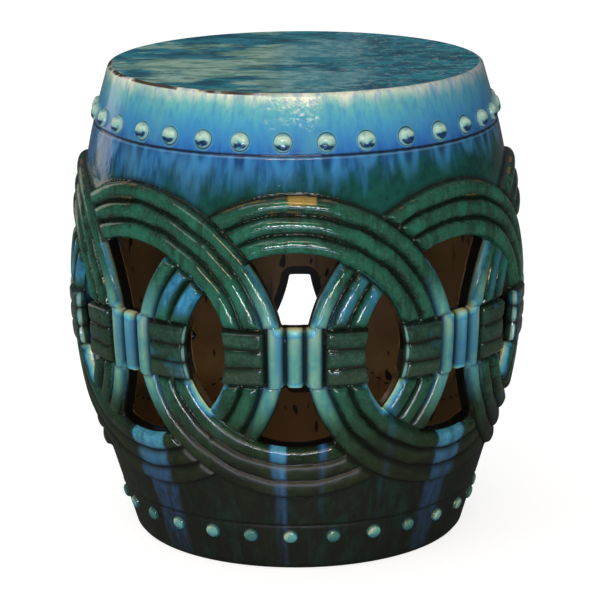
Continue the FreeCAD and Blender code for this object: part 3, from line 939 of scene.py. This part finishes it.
def glazeMaterial():
    # Flowing majolica glaze, fired glossy: turquoise over cobalt at the shoulder, bottle green on the
    # rings, near black where it pools in grooves and darker beside them, partly pooled glaze and partly
    # painted shade, turquoise where it runs off the windows' lower edges
    # Steps on noise are shares from 0 to 1, on edge, cleft, relief and halo millimetres, on x metres.
    material, add = newMaterial("flowingGlaze")
    tint = {name: paint(code) for name, code in glazeTints.items()}
    at = glazeHeights
    place = add("TexCoord", output=3)
    x, y, z = add("parts", place)
    height = add("times", z, 1000.0)
    edge, cleft, relief = add("parts", add("Attribute", attribute_name="glazeEdge", output=1))
    kind, run, halo = add("parts", add("Attribute", attribute_name="glazeFlow", output=1))
    facing, blue, lens = add("parts", add("Attribute", attribute_name="glazeRim", output=1))
    turquoise = add("larger", kind, 0.0)
    cord = add("step", kind, -0.3, -0.7)
    fine, broad = hangingNoise(add, place)
    mottle = add("noise", place, patterns["mottle"], 4, 0.65)
    cloud = add("noise", place, patterns["cloud"], 3, 0.55)
    grain = add("noise", place, patterns["grain"], 3, 0.7)
    shade = add("plus", add("times", mottle, 0.5), add("times", cloud, 0.5))
    softStreak = add("plus", add("times", broad, 0.55), add("times", fine, 0.45))
    # how many millimetres the glaze has sagged: up to 23 in broad streaks and 9 in fine ones
    sag = add("times", add("minus", broad, 0.5), 46.0)
    sag = add("plus", sag, add("times", add("minus", fine, 0.5), 18.0))

    # shoulder above the incised line, from the breaking rim down to cobalt
    fallen = add("plus", height, add("times", sag, 0.38))
    shoulder = add("ramp", add("line", fallen, *at["shoulder"]), stops=glazeRamps["shoulder"])
    pits = add("step", add("noise", place, patterns["grain"], 1, 0.55), 0.70, 0.76, 0.0, 0.5)
    bareRim = add("times", add("step", height, *at["bareRim"]), add("step", x, 0.0, -0.05))
    shoulder = coats(
        add, shoulder,
        (add("step", fine, 0.42, 0.68, 0.0, 0.5), tint["blueStreak"]),
        # painted shade: darker blue towards the right
        (add("step", x, 0.06, 0.17, 0.0, 0.35), tint["rightBlue"]),
        (add("step", cloud, 0.48, 0.72, 0.0, 0.4), tint["seaCloud"]),
        (add("times", pits, add("step", height, *at["pits"])), tint["pit"]),
        (add("times", bareRim, add("step", cloud, 0.4, 0.5)), tint["rimClay"]),
    )
    # below the line: cobalt over bottle green, in soft clouds and hanging streaks, bluer to the left
    leftward = add("times", x, -80.0)
    reach = add("plus", height, leftward, add("times", sag, 1.1))
    green = add("mix", add("step", shade, 0.36, 0.66), tint["bottle"], tint["deepBottle"])
    cobalt = coats(
        add, tint["cobalt"],
        (add("step", softStreak, 0.38, 0.66), tint["paleCobalt"]),
        (add("step", cloud, 0.42, 0.68, 0.0, 0.6), tint["greyCobalt"]),
        (add("step", height, *at["navy"], 0.0, 0.35), tint["navy"]),
    )
    # a dark drop with pale sides hangs from each stud, across the incised line
    drop = add("minus", halo, 100.0)
    onDrop = add("step", halo, 80.0, 85.0)
    sides = add("times", add("step", drop, -3.5, 0.0), add("step", drop, 1.0, 5.5, 1.0, 0.0))
    sides = add("times", sides, add("times", onDrop, add("step", height, *at["dropSides"])))
    core = add("times", add("step", drop, -1.5, -5.5), onDrop, add("step", height, *at["dropCore"]))
    fromMiddle = add("size", add("minus", height, at["lineMiddle"]))
    fromEdge = add("size", add("minus", height, at["lineEdge"]))
    upper = coats(
        add, green,
        (add("step", reach, *at["cobalt"]), cobalt),
        (add("times", sides, 0.55), tint["dropSide"]),
        (add("times", core, 0.6), tint["dropCore"]),
        (add("step", height, *at["overLine"]), shoulder),
        (add("step", fromMiddle, 0.4, 1.6, 0.45, 0.0), tint["inLine"]),
        (add("step", fromEdge, 0.3, 1.2, 0.3, 0.0), tint["lineEdge"]),
    )
    # skirt: nearly black olive with faint teal runs
    skirt = coats(
        add, tint["skirt"],
        (add("step", softStreak, 0.44, 0.66), tint["skirtTeal"]),
        (add("step", cloud, 0.4, 0.75, 0.0, 0.8), tint["skirtOlive"]),
        (add("step", grain, 0.5, 0.75, 0.0, 0.3), tint["skirtSpeck"]),
    )
    # rings: green on the crowns, which are a little lighter as a painted highlight, with darker clouds and
    # pale specks, olive below and azure in places
    greenRib = coats(
        add, tint["rib"],
        (add("step", shade, 0.38, 0.60), tint["darkRib"]),
        (add("step", grain, 0.48, 0.72, 0.0, 0.42), tint["ribSpeck"]),
        # painted highlight: a little lighter away from the grooves
        (add("step", cleft, 3.0, 8.5, 0.0, 0.40), tint["crown"]),
        (add("step", softStreak, 0.50, 0.62, 0.0, 0.6), tint["ribStreak"]),
    )
    olive = coats(
        add, tint["olive"],
        (add("step", shade, 0.36, 0.66), tint["darkOlive"]),
        (add("step", grain, 0.5, 0.75, 0.0, 0.3), tint["oliveSpeck"]),
    )
    azure = add("mix", add("step", shade, 0.38, 0.62), tint["azure"], tint["paleAzure"])
    azureShare = add("times", blue, add("step", cleft, 2.0, 7.0), add("step", softStreak, 0.32, 0.6))
    azureShare = add("times", azureShare, add("step", x, 0.02, -0.06, 0.55, 1.0))
    # cords: darker than the ribs, olive on the lowest lap and a blue streak here and there
    lowLap = add("step", add("plus", height, add("times", sag, 0.4)), *at["lapOlive"], 0.0, 0.7)
    lap = coats(
        add, tint["lap"],
        (add("step", shade, 0.36, 0.64), tint["darkLap"]),
        (lowLap, tint["lowLap"]),
        (add("times", add("step", cloud, 0.56, 0.68), 0.6), tint["lapBlue"]),
        (add("step", grain, 0.5, 0.75, 0.0, 0.4), tint["lapSpeck"]),
    )
    rib = coats(
        add, olive,
        (add("step", add("plus", height, sag), *at["ribOlive"]), greenRib),
        (azureShare, azure),
        (cord, lap),
    )
    # strands of the ties and the ribs beside them
    blueShare = add("plus", add("times", broad, 0.6), add("times", mottle, 0.4))
    tieTop = add("step", add("plus", height, add("times", sag, 0.3)), *at["tieTop"])
    tieTop = add("times", tieTop, add("step", height, *at["tieEnd"], 1.0, 0.0))
    strand = coats(
        add, add("ramp", blueShare, stops=glazeRamps["strand"]),
        (add("times", tieTop, 0.6), tint["tieTop"]),
        (add("step", cleft, 0.8, 3.4, 0.75, 0.0), tint["tieFringe"]),
    )
    # runs below the windows
    patchy = add("step", softStreak, 0.36, 0.56, 0.45, 1.0)
    runSpecks = add("times", add("step", run, 0.75, 1.0, 0.0, 0.45), add("step", grain, 0.4, 0.7))
    runColour = coats(
        add, tint["runTail"],
        (add("step", run, 0.35, 0.95), tint["runHead"]),
        (add("step", fine, 0.42, 0.62, 0.0, 0.6), tint["runStreak"]),
        (runSpecks, tint["runSpeck"]),
    )
    # windows' edges: a pale line where the glaze left them, turquoise and blue behind it; the lip is
    # wide under a window and beside a turquoise rib, and a hair line at the sides
    width = add("larger", add("step", facing, -0.1, 0.55, 1.7, 9.0), add("times", turquoise, 6.5))
    width = add("times", width, add("larger", turquoise, add("step", facing, -0.6, -0.2)))
    width = add("times", width, add("step", height, *at["narrowLip"], 0.22, 1.0))
    width = add("smaller", width, add("line", cord, 0.0, 1.0, 20.0, 1.5))
    lipPlace = add("over", edge, add("larger", width, 0.1))
    lipPlace = add("plus", lipPlace, add("times", add("minus", mottle, 0.5), 0.6))
    lipColour = add("mix", add("step", width, 2.2, 4.0, 0.7, 0.0),
                    add("ramp", lipPlace, stops=glazeRamps["lip"]), tint["hairLip"])
    deepest = add("line", add("step", width, 2.2, 4.5), 0.0, 1.0, 4.2, 0.0)
    overEdge = add("step", add("minus", relief, deepest), -0.8, 0.6)
    lip = add("times", add("step", lipPlace, 0.8, 1.25, 1.0, 0.0), overEdge)
    # the windows' flanks: black, partly black glaze and partly painted shade, but bare brown clay in the
    # narrow side windows
    flank = coats(
        add, tint["flank"],
        (lens, tint["bareFlank"]),
        (add("times", lens, add("step", x, -0.15, -0.18)), tint["blueFlank"]),
        (add("step", relief, -3.0, -0.5, 0.0, 0.9), tint["flank"]),
    )
    # tan where the glaze thinned on the rings' outer edges, and one bare ochre patch
    besideGroove = add("times", add("step", cleft, 1.2, 2.0), add("step", cleft, 2.6, 4.4, 1.0, 0.0))
    thin = add("times", add("step", shade, 0.51, 0.59), add("step", height, *at["bareEdge"]), besideGroove)
    patch = add("times", add("step", x, -0.0065, -0.0035), add("step", x, 0.019, 0.022, 1.0, 0.0),
                add("step", height, *at["ochrePatch"]), add("step", y, -0.1, -0.15))
    ochre = add("mix", mottle, tint["ochre"], tint["paleOchre"])
    studRing = add("times", add("step", halo, 0.2, 2.6, 0.7, 0.0), add("step", height, *at["upperStuds"]))
    # all of it, from the walls up: darker beside a groove, partly pooled glaze and partly painted shade,
    # the groove itself is brown black, and a thin dark line and a pale ring lie round each stud of the
    # upper row
    colour = coats(
        add, skirt,
        (add("step", height, *at["skirt"]), upper),
        (add("step", relief, 0.9, 1.8), rib),
        (turquoise, strand),
        (add("times", run, patchy), runColour),
        (lip, lipColour),
        # partly pooled glaze, partly painted shade: darker within 6.5 mm of a groove
        (add("step", cleft, 0.0, 6.5, 0.7, 0.0), tint["pooledAndShade"]),
        (add("times", add("step", cleft, 0.0, 1.8, 1.0, 0.0), 0.9), tint["groove"]),
        # black flanks: partly glaze, partly painted shade
        (add("step", relief, -1.5, 0.0, 1.0, 0.0), flank),
        (add("times", thin, add("step", relief, 1.4, 2.4, 0.0, 0.85)), tint["bareEdge"]),
        (add("times", patch, add("step", relief, 1.2, 2.6)), ochre),
        (studRing, tint["studRing"]),
        (add("step", halo, 0.5, 1.1, 0.75, 0.0), tint["studLine"]),
    )
    # glossy, but satin low on the drum, away from the windows
    satin = add("times", add("step", height, *at["satin"]), add("step", edge, 4.0, 22.0))
    roughness = add("line", satin, 0.0, 1.0, 0.045, 0.45)
    finishGlaze(add, colour, roughness, add("plus", mottle, add("times", cloud, 2.0)))
    return material


clayTints = {"clay": "#7a5a34", "paleClay": "#967546", "speck": "#1b140c", "run": "#2a2114",
             "darkEdgeBand": "#080705"}


def clayMaterial():
    # Bare brown stoneware clay inside and on the foot, with iron specks and a few dark runs. A near-black
    # band lies on the lining along the edges of the front and rear windows, the rear one facing the camera.
    material, add = newMaterial("bareClay")
    tint = {name: paint(code) for name, code in clayTints.items()}
    place = add("TexCoord", output=3)
    _, broad = hangingNoise(add, place)
    grain = add("noise", place, patterns["clayShade"], 4, 0.6)
    specks = add("noise", add("stretch", place, (1, 1, 0.3)), patterns["clayMarks"], 0, 0.55)
    edge = add("parts", add("Attribute", attribute_name="glazeEdge", output=1))[0]
    x = add("parts", place)[0]
    # a near-black band along the edges of the windows near x = 0, front and rear
    reach = add("step", add("size", x), 0.03, 0.05, 8.0, -3.0)
    darkEdgeBand = add("minus", add("plus", edge, grain), reach)
    colour = coats(
        add, tint["clay"],
        (grain, tint["paleClay"]),
        (add("step", specks, 0.74, 0.78), tint["speck"]),
        (add("step", broad, 0.66, 0.76, 0.0, 0.6), tint["run"]),
        (add("step", darkEdgeBand, 0.0, 1.0, 1.0, 0.0), tint["darkEdgeBand"]),
    )
    shader = add("BsdfPrincipled", inputs={"Base Color": colour, "Roughness": 0.55})
    add("OutputMaterial", inputs={"Surface": shader})
    return material


seatTints = {
    "deep": "#0c5a74", "teal": "#2a98ac", "leftCloud": "#74a898", "leftPale": "#b6dac8",
    "middle": "#56a0b0", "middlePale": "#98ccd2", "rightSpot": "#78b0b8", "pinkish": "#b8aea4",
    "pool": "#0d4a62",
}


def seatMaterial():
    # Deep teal glaze pooled on the level seat, with clouds that are partly glaze and partly painted
    # reflection: grey-green on the left, blue-grey past the middle and fine mottling on the right, all
    # drawn out sideways
    material, add = newMaterial("pooledGlazeAndReflection")
    tint = {name: paint(code) for name, code in seatTints.items()}
    place = add("TexCoord", output=3)
    x = add("parts", place)[0]
    drawn = add("stretch", place, (0.5, 1.0, 1.0))
    cloud = add("noise", drawn, patterns["seatCloud"], 5, 0.62)
    patches = add("noise", drawn, patterns["seatPatch"], 4, 0.62)
    speckle = add("noise", place, patterns["speckle"], 4, 0.7)
    # the pale clouds and spots below are partly glaze and partly painted reflection
    leftCloud = add("times", add("step", cloud, 0.45, 0.53), add("step", x, 0.03, -0.03))
    leftTint = add("mix", add("step", patches, 0.42, 0.58), tint["leftCloud"], tint["leftPale"])
    band = add("times", add("step", x, -0.03, 0.0), add("step", x, 0.09, 0.05))
    middle = add("times", add("step", cloud, 0.42, 0.54), band)
    middleTint = add("mix", add("step", speckle, 0.42, 0.60), tint["middle"], tint["middlePale"])
    rightSpots = add("times", add("step", speckle, 0.50, 0.66), add("step", x, 0.0, 0.06))
    pinkish = add("step", add("noise", place, patterns["mottle"], 2, 0.55), 0.62, 0.70)
    pinkish = add("times", pinkish, add("step", x, 0.01, 0.06))
    colour = coats(
        add, tint["deep"],
        (add("step", patches, 0.40, 0.62), tint["teal"]),
        (add("times", leftCloud, 0.9), leftTint),
        (add("times", middle, 0.8), middleTint),
        (add("times", rightSpots, 0.7), tint["rightSpot"]),
        (add("times", pinkish, 0.7), tint["pinkish"]),
        (add("step", patches, 0.58, 0.66, 0.0, 0.6), tint["pool"]),
    )
    finishGlaze(add, colour, 0.06, patches)
    return material


# upper studs from foot to top: navy underneath and pale on top, partly glaze and partly painted light and
# shade
studRamp = [(0.0, "#3f7f94"), (0.12, "#101f3a"), (0.32, "#1b3f63"), (0.44, "#7fb2aa"), (0.75, "#b2cdb8"),
            (1.0, "#5d9aa0")]
studTints = {
    "low": "#26606a", "high": "#5d978f", "lit": "#b3bf94", "dull": "#1f4f49", "lowEdge": "#1b3630",
    "paleEdge": "#86b3ae", "joint": "#16242b",
}


def studMaterial():
    # Pale turquoise glaze on the studs; it thins at their rims. They are paler on top and darker
    # underneath,
    # navy under the upper ones: partly glaze that pools there, partly painted light and shade. The lower
    # studs' upper left is painted lit.
    material, add = newMaterial("studGlaze")
    tint = {name: paint(code) for name, code in studTints.items()}
    place = add("TexCoord", output=3)
    across, up, pick = add("parts", add("Attribute", attribute_name="studFace", output=1))
    radius = add("root", add("plus", add("times", across, across), add("times", up, up)))
    wave = add("times", add("minus", add("noise", place, patterns["wobble"], 3, 0.55), 0.5), 1.3)
    level = add("plus", up, wave)
    height = add("times", add("parts", place)[2], 1000.0)
    onUpper = add("step", height, *glazeHeights["upperStuds"])
    lower = coats(
        # painted light and shade, partly pooled glaze: paler top, lit upper left, darker underside
        add, tint["low"],
        (add("step", level, -0.9, 0.3), tint["high"]),
        (add("step", add("minus", level, across), 0.2, 1.1, 0.0, 0.6), tint["lit"]),
        (add("step", pick, 0.55, 0.6, 0.0, 0.65), tint["dull"]),
        (add("step", radius, 0.8, 0.95, 0.0, 0.8), tint["lowEdge"]),
    )
    colour = coats(
        add, lower,
        (onUpper, add("ramp", add("line", level, -0.9, 0.9), stops=studRamp)),
        (add("times", add("step", radius, 0.84, 0.98, 0.0, 0.8), onUpper), tint["paleEdge"]),
        (add("step", radius, 1.0, 1.02), tint["joint"]),
    )
    finishGlaze(add, colour, 0.08, wave, 0.0002)
    return material


finishes = [glazeMaterial(), clayMaterial(), seatMaterial()]    # in the order of the faces' numbers
for piece, _ in made.values():
    for finish in finishes:
        piece.data.materials.append(finish)
onStuds = studMaterial()
for piece in studs:
    piece.data.materials.append(onStuds)
print("materials", len(bpy.data.materials))

# Camera: fitted to the stool's rim, foot and studs in the photograph. Angles are in degrees.
view = {"distance": 2.64536, "aimHeight": 0.230, "elevation": 14.55, "azimuth": 0.74, "roll": -0.52,
        "lens": 161.26, "sensor": 36, "shift": (0.00435, -0.01453)}
elevation, azimuth, roll = (math.radians(view[name]) for name in ("elevation", "azimuth", "roll"))
away = Vector((math.cos(elevation) * math.sin(azimuth), -math.cos(elevation) * math.cos(azimuth),
               math.sin(elevation)))
right = Vector((math.cos(azimuth), math.sin(azimuth), 0))
up = away.cross(right)
tiltedRight = math.cos(roll) * right + math.sin(roll) * up
tiltedUp = -math.sin(roll) * right + math.cos(roll) * up
cameraData = bpy.data.cameras.new("photoCamera")
cameraData.lens = view["lens"]
cameraData.sensor_width = view["sensor"]
cameraData.shift_x, cameraData.shift_y = view["shift"]
cameraData.clip_end = 50
camera = bpy.data.objects.new("photoCamera", cameraData)
turned = Matrix((tiltedRight, tiltedUp, away)).transposed().to_4x4()
stand = Vector((0, 0, view["aimHeight"])) + away * view["distance"]
camera.matrix_world = Matrix.Translation(stand) @ turned
bpy.context.collection.objects.link(camera)
bpy.context.scene.camera = camera

# Plain pale floor. The camera sees it partly as a glow, so that it is as white as the backdrop.
ground = {"halfWidth": 6, "colour": "#f2f2f2", "inGloss": "#6a6a6a", "roughness": 0.9,
          "share": 0.55, "glow": 1.42}
w = ground["halfWidth"]
floorData = bpy.data.meshes.new("floor")
floorData.from_pydata([(-w, -w, 0), (w, -w, 0), (w, w, 0), (-w, w, 0)], [], [(0, 1, 2, 3)])
floor = bpy.data.objects.new("floor", floorData)
bpy.context.collection.objects.link(floor)
floorPaint, add = newMaterial("paleFloor")
mirrored = add("mix", add("LightPath", output=3), paint(ground["colour"]), paint(ground["inGloss"]))
lit = add("BsdfPrincipled", inputs={"Base Color": mirrored, "Roughness": ground["roughness"]})
seen = add("times", add("LightPath", output=0), ground["share"])
glow = add("Emission", inputs={"Color": paint("#ffffff"), "Strength": ground["glow"]})
add("OutputMaterial", inputs={"Surface": add("shaders", seen, lit, glow)})
floorData.materials.append(floorPaint)

# White for the camera, a bright overcast for diffuse light, and a dim room for reflections
world = bpy.data.worlds.new("studio")
bpy.context.scene.world = world
world.use_nodes = True
world.node_tree.nodes.clear()
add = adderFor(world.node_tree)
cameraRay = add("LightPath", output=0)
glossyRay = add("LightPath", output=3)
sideways, _, upward = add("parts", add("TexCoord", output=0))
overcast = add("line", sideways, 1.0, -1.0, 0.22, 0.64)    # brighter from the left and from above
overcast = add("plus", overcast, add("line", upward, 0.0, 1.0, 0.0, 0.28))
room = add("line", upward, 0.3, 0.9, 0.07, 0.40)
shades = {"backdrop": ("#ffffff", 1.0), "overcast": ("#ffffff", overcast), "room": ("#dfe8f2", room)}
backs = {name: add("Background", inputs={"Color": paint(code), "Strength": strength})
         for name, (code, strength) in shades.items()}
indirect = add("shaders", glossyRay, backs["overcast"], backs["room"])
add("OutputWorld", inputs={"Surface": add("shaders", cameraRay, indirect, backs["backdrop"])})

# Lamps: x, y, z in metres, width and height, power in watts, colour
lamps = {
    "softBox": ((-1.1, -1.5, 2.1), (1.0, 0.8), 5.5, "#ffffff"),
    "warmBar": ((-0.05, -1.85, 1.30), (1.0, 0.10), 8.0, "#ffdcae"),
    "whiteBarLeft": ((-0.34, -1.96, 0.34), (0.20, 0.10), 3.4, "#ffffff"),
    "whiteBar": ((0.04, -1.98, 0.34), (0.28, 0.10), 5.0, "#ffffff"),
    "whiteBarRight": ((0.38, -1.95, 0.34), (0.16, 0.10), 2.2, "#ffffff"),
    "coolBar": ((0.0, -1.0, 0.10), (0.5, 0.03), 1.2, "#b8c8ff"),
    "sideGlow": ((-1.9, 1.5, 0.9), (0.9, 1.6), 5, "#fff2e0"),
}
lampTarget = Vector((0, 0, 0.27))
for name, (spot, size, power, code) in lamps.items():
    lampData = bpy.data.lights.new(name, "AREA")
    lampData.shape = "RECTANGLE"
    lampData.size, lampData.size_y = size
    lampData.energy = power
    lampData.color = paint(code)[:3]
    lamp = bpy.data.objects.new(name, lampData)
    lamp.location = spot
    lamp.rotation_euler = (lampTarget - Vector(spot)).to_track_quat("-Z", "Y").to_euler()
    bpy.context.collection.objects.link(lamp)
bpy.context.scene.view_settings.view_transform = "Standard"
print("camera, floor and lamps set")

print("scene ready")
